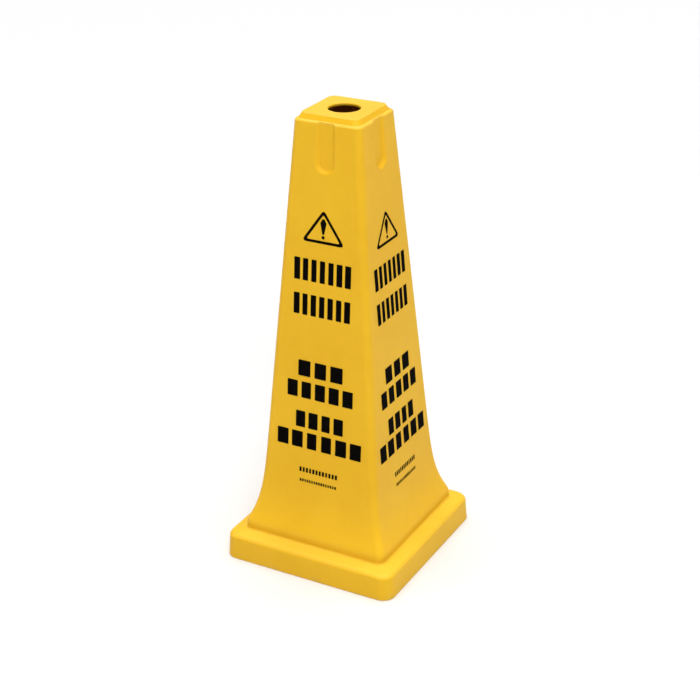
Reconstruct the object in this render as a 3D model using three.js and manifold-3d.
// A wet floor cone: a hollow, four-sided plastic cone standing on a square foot, with black printing on
// every side. The cone is open underneath, so cones nest for storage, and its top face has a round hole.
// Units are millimetres, +Z is up, and the origin is the middle of the foot at floor level.
//
// The pieces: cone_body is the tapered shell, foot is the square ring that its lip seats on, and every
// printed mark is a thin film of its own on the face that carries it.

import * as THREE from "three";
import { mergeVertices } from "three/addons/utils/BufferGeometryUtils.js";
import Module from "manifold-3d";

const wasm = await Module();
wasm.setup();

// ---------- Overall sizes ----------
const HEIGHT = 650.9; // floor to top face
const FOOT_SIDE = 266.7; // across the foot at the floor
const SHOULDER_SIDE = 100; // across the cone just under its shoulder
const WALL = 3; // thickness of both mouldings
const SEAT_GAP = 0.3; // clearance between the lip and the foot

// ---------- Top of the cone ----------
const TOP_INSET = 6.8; // from the shoulder's edge in to the raised top face
const TOP_RISE = 7.6; // height of the top face above the shoulder
const TOP_DRAFT = 2.8; // how far the raised block widens on its way down
const TOP_EDGE = 1.5; // rounding of the top face's edge
const TOP_CORNER = 9; // corner radius of the raised block, in plan
const SHOULDER_EDGE = 3.2; // rounding of the shoulder's edge
const TOP_THICKNESS = 4.5; // the top face is thicker than the walls, to carry the hole's rim
const HOLE_RADIUS = 22; // the round hole in the top face
const HOLE_EDGE = 1; // rounding of the hole's rim

// ---------- Body ----------
const BODY_CORNER = 10.2; // corner radius of the tapered body, in plan
const FLARE_START = 253.5; // height where the straight taper starts to flare
const FLARE_SPREAD = 14.4; // how far the flare ends outside the straight taper
const FLARE_POWER = 6.4; // how late and tightly the flare turns out
const FLARE_STEPS = 16;
const LIP_HEIGHT = 13; // vertical lip at the bottom of the flare

// ---------- Finger flutes, one to a side ----------
const FLUTE_LENGTH = 68; // from the shoulder down to the flute's round end
const FLUTE_FLOOR_WIDTH = 21.4;
const FLUTE_TOP_DEPTH = 2.4; // depth at the shoulder
const FLUTE_END_DEPTH = 5.2; // depth at the round end
const FLUTE_WALL_SLOPE = 0.75; // sideways run of the flute's walls for each millimetre of depth

// ---------- Foot ----------
const FOOT_CORNER = 18.3; // corner radius in plan
const FOOT_DRAFT = 1.5; // how far the foot's sides lean in on their way up
const FOOT_LEDGE = 22.7; // from the lip out to the foot's side
const SEAT_HEIGHT = 40.9; // floor to the seat that the lip stands on
const LEDGE_SLOPE = 12; // degrees that the ledge falls towards its edge
const LEDGE_EDGE = 7; // rounding of the ledge's outer edge
const UPSTAND = 8; // height of the collar that locates the lip from inside
const RIB_THICKNESS = 2.4;
const RIB_SPACING = 62; // between the gusset ribs along a side
const RIBS_EACH_WAY = 1; // ribs on either side of a side's middle one
const RIB_FOOT_GAP = 3; // ribs stop this far above the floor

// ---------- Printing ----------
const FILM = 0.2; // thickness of a printed film
const FILM_GAP = 0.06; // between a film and the face under it
const ART_DROP = 50; // from the end of the flute to the top of the artwork
const ART_SHIFTS = { front: 0, right: 9, back: 0, left: 0 }; // how much lower each side is printed
const ART_CLEAR = 66; // least height from the lip to the bottom of the artwork
const ART_MARGIN = 6; // least distance from the artwork to the body's rounded corner
const TRIANGLE = { width: 60, height: 42, stroke: 3.3, corner: 2.6 };
const ALERT_BAR = { top: 3.2, middle: 9.2, middleDrop: 15.8, foot: 2.8, height: 21, drop: 10.4 };
const ALERT_DOT = { radius: 2.3, drop: 33.2 };
// Each row of the legend: its width, its height, and its drop from the top of the artwork.
const ROWS = [
  { name: "legend_row_1", width: 86.6, height: 31, drop: 68.5 },
  { name: "legend_row_2", width: 86.6, height: 30, drop: 118.3 },
  { name: "legend_row_3", width: 69, height: 23, drop: 214.3 },
  { name: "legend_row_4", width: 102, height: 24, drop: 245.6 },
  { name: "legend_row_5", width: 74, height: 24, drop: 289.6 },
  { name: "legend_row_6", width: 132, height: 24, drop: 320.6 },
  { name: "maker_badge", width: 60, height: 14, drop: 370.4 },
  { name: "maker_line", width: 58, height: 4.4, drop: 391.3 },
];
const ROW_CORNER = 1.2;
const SIDES = ["front", "right", "back", "left"]; // the sides face -Y, +X, +Y and -X

// ---------- Smoothness ----------
const CORNER_STEPS = 6;
const EDGE_STEPS = 3;
const ROUND_STEPS = 40;
const OVERSHOOT = 5; // how far a cutter runs past what it cuts

// ---------- Sizes that follow from those ----------
const shoulderZ = HEIGHT - TOP_RISE;
const lipBottom = SEAT_HEIGHT + SEAT_GAP;
const lipTop = SEAT_HEIGHT + LIP_HEIGHT;
const lipHalf = FOOT_SIDE / 2 - FOOT_LEDGE;
const shoulderHalf = SHOULDER_SIDE / 2;
const topHalf = shoulderHalf - TOP_INSET;
const fluteEnd = shoulderZ - FLUTE_LENGTH;

// Half the straight taper's width at a height: it runs on past the start of the flare.
const taperSlope = (lipHalf - FLARE_SPREAD - shoulderHalf) / (shoulderZ - lipTop);
const taperHalf = (z) => shoulderHalf + taperSlope * (shoulderZ - z);

// Half the body's width at a height.
function bodyHalf(z) {
  const along = THREE.MathUtils.clamp((FLARE_START - z) / (FLARE_START - lipTop), 0, 1);
  return taperHalf(Math.max(z, lipTop)) + FLARE_SPREAD * along ** FLARE_POWER;
}

// How much the body widens for each millimetre down.
function bodySlope(z) {
  const step = 0.5;
  return (bodyHalf(Math.max(z - step, lipTop)) - bodyHalf(z + step)) / (2 * step);
}

// ---------- Helpers ----------

// The points of a rounded square at one height, anticlockwise seen from above.
function squareRing(half, radius, z) {
  const ring = [];
  for (let quarter = 0; quarter < 4; quarter++) {
    const middle = new THREE.Vector2(half - radius, half - radius);
    middle.rotateAround(new THREE.Vector2(), (quarter * Math.PI) / 2);
    for (let i = 0; i <= CORNER_STEPS; i++) {
      const angle = ((quarter + i / CORNER_STEPS) * Math.PI) / 2;
      const x = middle.x + radius * Math.cos(angle);
      const y = middle.y + radius * Math.sin(angle);
      ring.push(new THREE.Vector3(x, y, z));
    }
  }
  return ring;
}

// A closed surface through rings with equal numbers of points. Both end rings are convex.
function loft(rings) {
  const count = rings[0].length;
  const positions = rings.flat().flatMap((p) => [p.x, p.y, p.z]);
  const faces = [];
  for (let r = 0; r + 1 < rings.length; r++) {
    for (let i = 0; i < count; i++) {
      const a = r * count + i;
      const b = r * count + ((i + 1) % count);
      faces.push(a, b, b + count, a, b + count, a + count);
    }
  }
  const last = (rings.length - 1) * count;
  for (let i = 1; i + 1 < count; i++) {
    faces.push(0, i + 1, i);
    faces.push(last, last + i, last + i + 1);
  }
  const geometry = new THREE.BufferGeometry();
  geometry.setAttribute("position", new THREE.Float32BufferAttribute(positions, 3));
  geometry.setIndex(faces);
  return geometry;
}

// A geometry as a manifold-3d solid.
function solidOf(geometry) {
  const plain = geometry.clone();
  plain.deleteAttribute("normal");
  plain.deleteAttribute("uv");
  const merged = mergeVertices(plain, 1e-4);
  return new wasm.Manifold(
    new wasm.Mesh({
      numProp: 3,
      vertProperties: new Float32Array(merged.attributes.position.array),
      triVerts: new Uint32Array(merged.index.array),
    }),
  );
}

// A manifold-3d solid as a geometry.
function geometryOf(solid) {
  const mesh = solid.getMesh();
  const geometry = new THREE.BufferGeometry();
  geometry.setAttribute("position", new THREE.BufferAttribute(mesh.vertProperties, 3));
  geometry.setIndex(new THREE.BufferAttribute(mesh.triVerts, 1));
  geometry.computeVertexNormals();
  return geometry;
}

const joined = (solids) => solids.reduce((all, solid) => all.add(solid));
const without = (solid, cutters) => cutters.reduce((left, cutter) => left.subtract(cutter), solid);

// A solid turned about the cone's axis by a number of quarter turns.
function turned(geometry, quarters) {
  const copy = geometry.clone();
  copy.rotateZ((quarters * Math.PI) / 2);
  return solidOf(copy);
}

// Half-widths and heights round a quarter of a rounded edge, from its side up to its top.
function edgeStations(half, top, radius, sweep = Math.PI / 2) {
  const stations = [];
  for (let i = 0; i <= EDGE_STEPS; i++) {
    const angle = (sweep * i) / EDGE_STEPS;
    stations.push([half - radius + radius * Math.cos(angle), top - radius + radius * Math.sin(angle)]);
  }
  return stations;
}

// ---------- The cone body ----------

// Heights where the flare's wall needs a ring, from its end up to its start.
function flareHeights() {
  const heights = [];
  for (let i = 0; i <= FLARE_STEPS; i++) {
    heights.push(lipTop + (FLARE_START - lipTop) * (i / FLARE_STEPS) ** 1.6);
  }
  return heights;
}

// Half the width of the finished wall at a height: it runs straight from each ring to the next.
function wallHalf(z) {
  const heights = [...flareHeights(), shoulderZ];
  const above = Math.max(heights.findIndex((height) => height >= z), 1);
  const [low, high] = [heights[above - 1], heights[above]];
  return THREE.MathUtils.mapLinear(z, low, high, bodyHalf(low), bodyHalf(high));
}

function bodyOutside() {
  const rings = [squareRing(lipHalf, BODY_CORNER, lipBottom)];
  for (const z of flareHeights()) rings.push(squareRing(bodyHalf(z), BODY_CORNER, z));
  const edgeBottom = bodyHalf(shoulderZ - SHOULDER_EDGE);
  for (const [half, z] of edgeStations(edgeBottom, shoulderZ, SHOULDER_EDGE)) {
    rings.push(squareRing(half, BODY_CORNER, z));
  }
  rings.push(squareRing(topHalf + TOP_DRAFT, TOP_CORNER, shoulderZ));
  for (const [half, z] of edgeStations(topHalf, HEIGHT, TOP_EDGE)) {
    rings.push(squareRing(half, TOP_CORNER, z));
  }
  return loft(rings);
}

function bodyInside() {
  const corner = BODY_CORNER - WALL;
  const innerHalf = (z) => bodyHalf(z) - WALL * Math.hypot(1, bodySlope(z));
  const rings = [squareRing(lipHalf - WALL, corner, lipBottom - OVERSHOOT)];
  for (const z of flareHeights()) rings.push(squareRing(innerHalf(z), corner, z));
  const ceiling = shoulderZ - TOP_THICKNESS;
  rings.push(squareRing(innerHalf(ceiling), corner, ceiling));
  const innerTop = topHalf - WALL;
  rings.push(squareRing(innerTop + TOP_DRAFT, TOP_CORNER - WALL, ceiling));
  rings.push(squareRing(innerTop, TOP_CORNER - WALL, HEIGHT - TOP_THICKNESS));
  return loft(rings);
}

// The front side's flute as a cutter. Its floor lies behind the face by the flute's depth, and grow
// makes it wider and deeper all round, which shapes the wall behind the flute.
function fluteCutter(grow) {
  const topZ = shoulderZ + OVERSHOOT;
  const floorSlope = (taperSlope * FLUTE_LENGTH - FLUTE_END_DEPTH + FLUTE_TOP_DEPTH) / FLUTE_LENGTH;
  const floorY = (z) => -(shoulderHalf - FLUTE_TOP_DEPTH - grow + floorSlope * (shoulderZ - z));
  const surfaceRun = FLUTE_END_DEPTH * FLUTE_WALL_SLOPE;
  const endMiddle = fluteEnd + FLUTE_FLOOR_WIDTH / 2 + surfaceRun;
  const outline = (radius, out) => {
    const ring = [];
    const place = (x, z) => ring.push(new THREE.Vector3(x, floorY(z) - out, z));
    for (let i = 0; i <= ROUND_STEPS / 2; i++) {
      const angle = Math.PI * (1 + (2 * i) / ROUND_STEPS);
      place(radius * Math.cos(angle), endMiddle + radius * Math.sin(angle));
    }
    place(radius, topZ);
    place(-radius, topZ);
    return ring;
  };
  const reach = FLUTE_END_DEPTH + grow + OVERSHOOT;
  const floorRadius = FLUTE_FLOOR_WIDTH / 2 + grow;
  return loft([outline(floorRadius, 0), outline(floorRadius + FLUTE_WALL_SLOPE * reach, reach)]);
}

// The hole in the top face, with its rounded rim, as a cutter.
function holeCutter() {
  const low = -TOP_THICKNESS - OVERSHOOT;
  const profile = [new THREE.Vector2(0, low), new THREE.Vector2(HOLE_RADIUS, low)];
  for (let i = 0; i <= EDGE_STEPS; i++) {
    const angle = (Math.PI / 2) * (i / EDGE_STEPS);
    const out = HOLE_RADIUS + HOLE_EDGE * (1 - Math.cos(angle));
    profile.push(new THREE.Vector2(out, HOLE_EDGE * (Math.sin(angle) - 1)));
  }
  profile.push(new THREE.Vector2(HOLE_RADIUS + HOLE_EDGE, OVERSHOOT), new THREE.Vector2(0, OVERSHOOT));
  const cutter = new THREE.LatheGeometry(profile, ROUND_STEPS);
  cutter.rotateX(Math.PI / 2);
  cutter.translate(0, 0, HEIGHT);
  return cutter;
}

function coneBody() {
  const quarters = [0, 1, 2, 3];
  const flutes = quarters.map((quarter) => turned(fluteCutter(0), quarter));
  const backs = quarters.map((quarter) => turned(fluteCutter(WALL), quarter));
  const hollow = without(solidOf(bodyInside()), backs);
  const shell = without(solidOf(bodyOutside()), [hollow, ...flutes, solidOf(holeCutter())]);
  return geometryOf(shell);
}

// ---------- The foot ----------

// The foot's outline over its side, rounded edge and sloping ledge, as half-widths and heights.
function footStations(inset) {
  const fall = THREE.MathUtils.degToRad(LEDGE_SLOPE);
  const side = FOOT_SIDE / 2 - FOOT_DRAFT;
  const turn = Math.PI / 2 - fall;
  const edge = edgeStations(side, 0, LEDGE_EDGE, turn);
  const [edgeHalf, edgeZ] = edge[edge.length - 1];
  const ledgeZ = SEAT_HEIGHT - (edgeHalf - lipHalf - SEAT_GAP) * Math.tan(fall);
  const lift = ledgeZ - edgeZ;
  const stations = edge.map(([half, z]) => [half, z + lift]);
  stations.push([lipHalf + SEAT_GAP, SEAT_HEIGHT]);
  return stations.map(([half, z]) => [half - inset, z - inset]);
}

function footOutside() {
  const rings = [squareRing(FOOT_SIDE / 2, FOOT_CORNER, 0)];
  for (const [half, z] of footStations(0)) rings.push(squareRing(half, FOOT_CORNER, z));
  return loft(rings);
}

function footInside() {
  const corner = FOOT_CORNER - WALL;
  const rings = [squareRing(FOOT_SIDE / 2 - WALL, corner, -OVERSHOOT)];
  for (const [half, z] of footStations(WALL)) rings.push(squareRing(half, corner, z));
  return loft(rings);
}

// Gusset ribs under the ledge of one side, from the foot's skirt in to the collar.
function footRibs(collarInside) {
  const fall = Math.tan(THREE.MathUtils.degToRad(LEDGE_SLOPE));
  const side = FOOT_SIDE / 2 - FOOT_DRAFT - WALL / 2;
  const ribTop = SEAT_HEIGHT - WALL / 2;
  const sideTop = ribTop - (side - lipHalf) * fall - LEDGE_EDGE / 2;
  const outline = new THREE.Shape();
  outline.moveTo(collarInside, ribTop);
  outline.lineTo(collarInside, ribTop - WALL * 2);
  outline.lineTo(side, RIB_FOOT_GAP);
  outline.lineTo(side, sideTop);
  outline.lineTo(lipHalf, ribTop);
  const ribs = [];
  for (let i = -RIBS_EACH_WAY; i <= RIBS_EACH_WAY; i++) {
    const rib = new THREE.ExtrudeGeometry(outline, { depth: RIB_THICKNESS, bevelEnabled: false });
    rib.rotateX(Math.PI / 2);
    rib.translate(0, i * RIB_SPACING + RIB_THICKNESS / 2, 0);
    ribs.push(rib);
  }
  return ribs;
}

function foot() {
  const collarOutside = lipHalf - WALL - SEAT_GAP;
  const collarInside = collarOutside - WALL;
  const collarTop = SEAT_HEIGHT + UPSTAND;
  const collarCorner = BODY_CORNER - WALL;
  const ringOf = (half, corner, low, high) =>
    solidOf(loft([squareRing(half, corner, low), squareRing(half, corner, high)]));
  const shell = without(solidOf(footOutside()), [solidOf(footInside())]);
  const collar = ringOf(collarOutside, collarCorner, SEAT_HEIGHT - WALL / 2, collarTop);
  const ribs = [0, 1, 2, 3].flatMap((quarter) =>
    footRibs(collarInside).map((rib) => turned(rib, quarter)),
  );
  const opening = ringOf(collarInside, collarCorner - WALL, -OVERSHOOT, collarTop + OVERSHOOT);
  return geometryOf(without(joined([shell, collar, ...ribs]), [opening]));
}

// ---------- Printing ----------

const artHeight = Math.max(...ROWS.map((row) => row.drop + row.height));
const artWidth = Math.max(...ROWS.map((row) => row.width));

// The artwork keeps its size unless the face is too short or too narrow for it.
function artScale() {
  const top = fluteEnd - ART_DROP;
  const roomDown = top - Math.max(...Object.values(ART_SHIFTS)) - (lipTop + ART_CLEAR);
  const widest = ROWS.find((row) => row.width === artWidth);
  const faceHalf = bodyHalf(top - widest.drop) - BODY_CORNER - ART_MARGIN;
  return Math.min(1, roomDown / artHeight, (2 * faceHalf) / artWidth);
}

// A closed outline through corner points, each rounded by a radius.
function roundedOutline(corners, radius, path = new THREE.Shape()) {
  const count = corners.length;
  corners.forEach((corner, i) => {
    const before = corners[(i + count - 1) % count].clone().sub(corner).normalize();
    const after = corners[(i + 1) % count].clone().sub(corner).normalize();
    const setback = radius / Math.tan(before.angleTo(after) / 2);
    const start = corner.clone().addScaledVector(before, setback);
    const end = corner.clone().addScaledVector(after, setback);
    if (i === 0) path.moveTo(start.x, start.y);
    else path.lineTo(start.x, start.y);
    path.quadraticCurveTo(corner.x, corner.y, end.x, end.y);
  });
  path.closePath();
  return path;
}

// Corner points, anticlockwise, of a shape that is symmetric about the artwork's centre line, from
// [half-width, drop] pairs down one side.
function mirrored(pairs, scale) {
  const left = pairs.map(([half, drop]) => new THREE.Vector2(-half, -drop).multiplyScalar(scale));
  const right = left.filter((point) => point.x < 0).map((point) => new THREE.Vector2(-point.x, point.y));
  return [...left, ...right.reverse()];
}

function triangleShape(scale) {
  const { width, height, stroke, corner } = TRIANGLE;
  const half = width / 2;
  const flank = Math.hypot(half, height);
  const apexInset = (stroke * flank) / half;
  const innerHalf = ((height - stroke - apexInset) * half) / height;
  const outer = mirrored([[0, 0], [half, height]], scale);
  const inner = mirrored([[0, apexInset], [innerHalf, height - stroke]], scale);
  const shape = roundedOutline(outer, corner * scale);
  shape.holes.push(roundedOutline(inner, (corner / 2) * scale, new THREE.Path()));
  return shape;
}

function barShape(scale) {
  const { top, middle, middleDrop, foot: point, height, drop } = ALERT_BAR;
  const pairs = [[top / 2, drop], [middle / 2, middleDrop], [point / 2, drop + height]];
  return roundedOutline(mirrored(pairs, scale), (ROW_CORNER / 2) * scale);
}

function dotShape(scale) {
  const shape = new THREE.Shape();
  const middle = (ALERT_DOT.drop + ALERT_DOT.radius) * scale;
  shape.absarc(0, -middle, ALERT_DOT.radius * scale, 0, Math.PI * 2);
  return shape;
}

function rowShape(row, scale) {
  const pairs = [[row.width / 2, row.drop], [row.width / 2, row.drop + row.height]];
  return roundedOutline(mirrored(pairs, scale), ROW_CORNER * scale);
}

// A printed film on the front face: its shape hangs from the top of the artwork, and the film is laid
// along the face between its own top and bottom. The shift is how much lower the artwork is printed.
function film(name, shape, shift, material) {
  const geometry = new THREE.ExtrudeGeometry(shape, { depth: FILM, bevelEnabled: false, curveSegments: 5 });
  geometry.computeBoundingBox();
  const { min, max } = geometry.boundingBox;
  const artTop = fluteEnd - ART_DROP - shift;
  const highZ = artTop + max.y;
  const lowZ = artTop + min.y;
  const lean = Math.atan2(wallHalf(lowZ) - wallHalf(highZ), highZ - lowZ);
  geometry.translate(0, -max.y, FILM_GAP);
  const mesh = new THREE.Mesh(geometry, material);
  mesh.name = name;
  mesh.rotation.x = Math.PI / 2 - lean;
  mesh.position.set(0, -wallHalf(highZ), highZ);
  return mesh;
}

// ---------- Materials and assembly ----------

const yellow = new THREE.MeshStandardMaterial({ color: 0xf2bd2c, roughness: 0.42, metalness: 0 });
const footYellow = new THREE.MeshStandardMaterial({ color: 0xf2bd2c, roughness: 0.4, metalness: 0 });
const ink = new THREE.MeshStandardMaterial({ color: 0x0c0b0b, roughness: 0.5, metalness: 0 });

function named(name, geometry, material) {
  const mesh = new THREE.Mesh(geometry, material);
  mesh.name = name;
  return mesh;
}

function printedSide(side, quarter) {
  const scale = artScale();
  const shift = ART_SHIFTS[side];
  const group = new THREE.Group();
  group.add(film(`${side}_warning_triangle`, triangleShape(scale), shift, ink));
  group.add(film(`${side}_alert_bar`, barShape(scale), shift, ink));
  group.add(film(`${side}_alert_dot`, dotShape(scale), shift, ink));
  for (const row of ROWS) {
    group.add(film(`${side}_${row.name}`, rowShape(row, scale), shift, ink));
  }
  group.rotation.z = (quarter * Math.PI) / 2;
  return group;
}

const cone = new THREE.Group();
cone.add(named("cone_body", coneBody(), yellow));
cone.add(named("foot", foot(), footYellow));
SIDES.forEach((side, quarter) => cone.add(printedSide(side, quarter)));

export default cone;
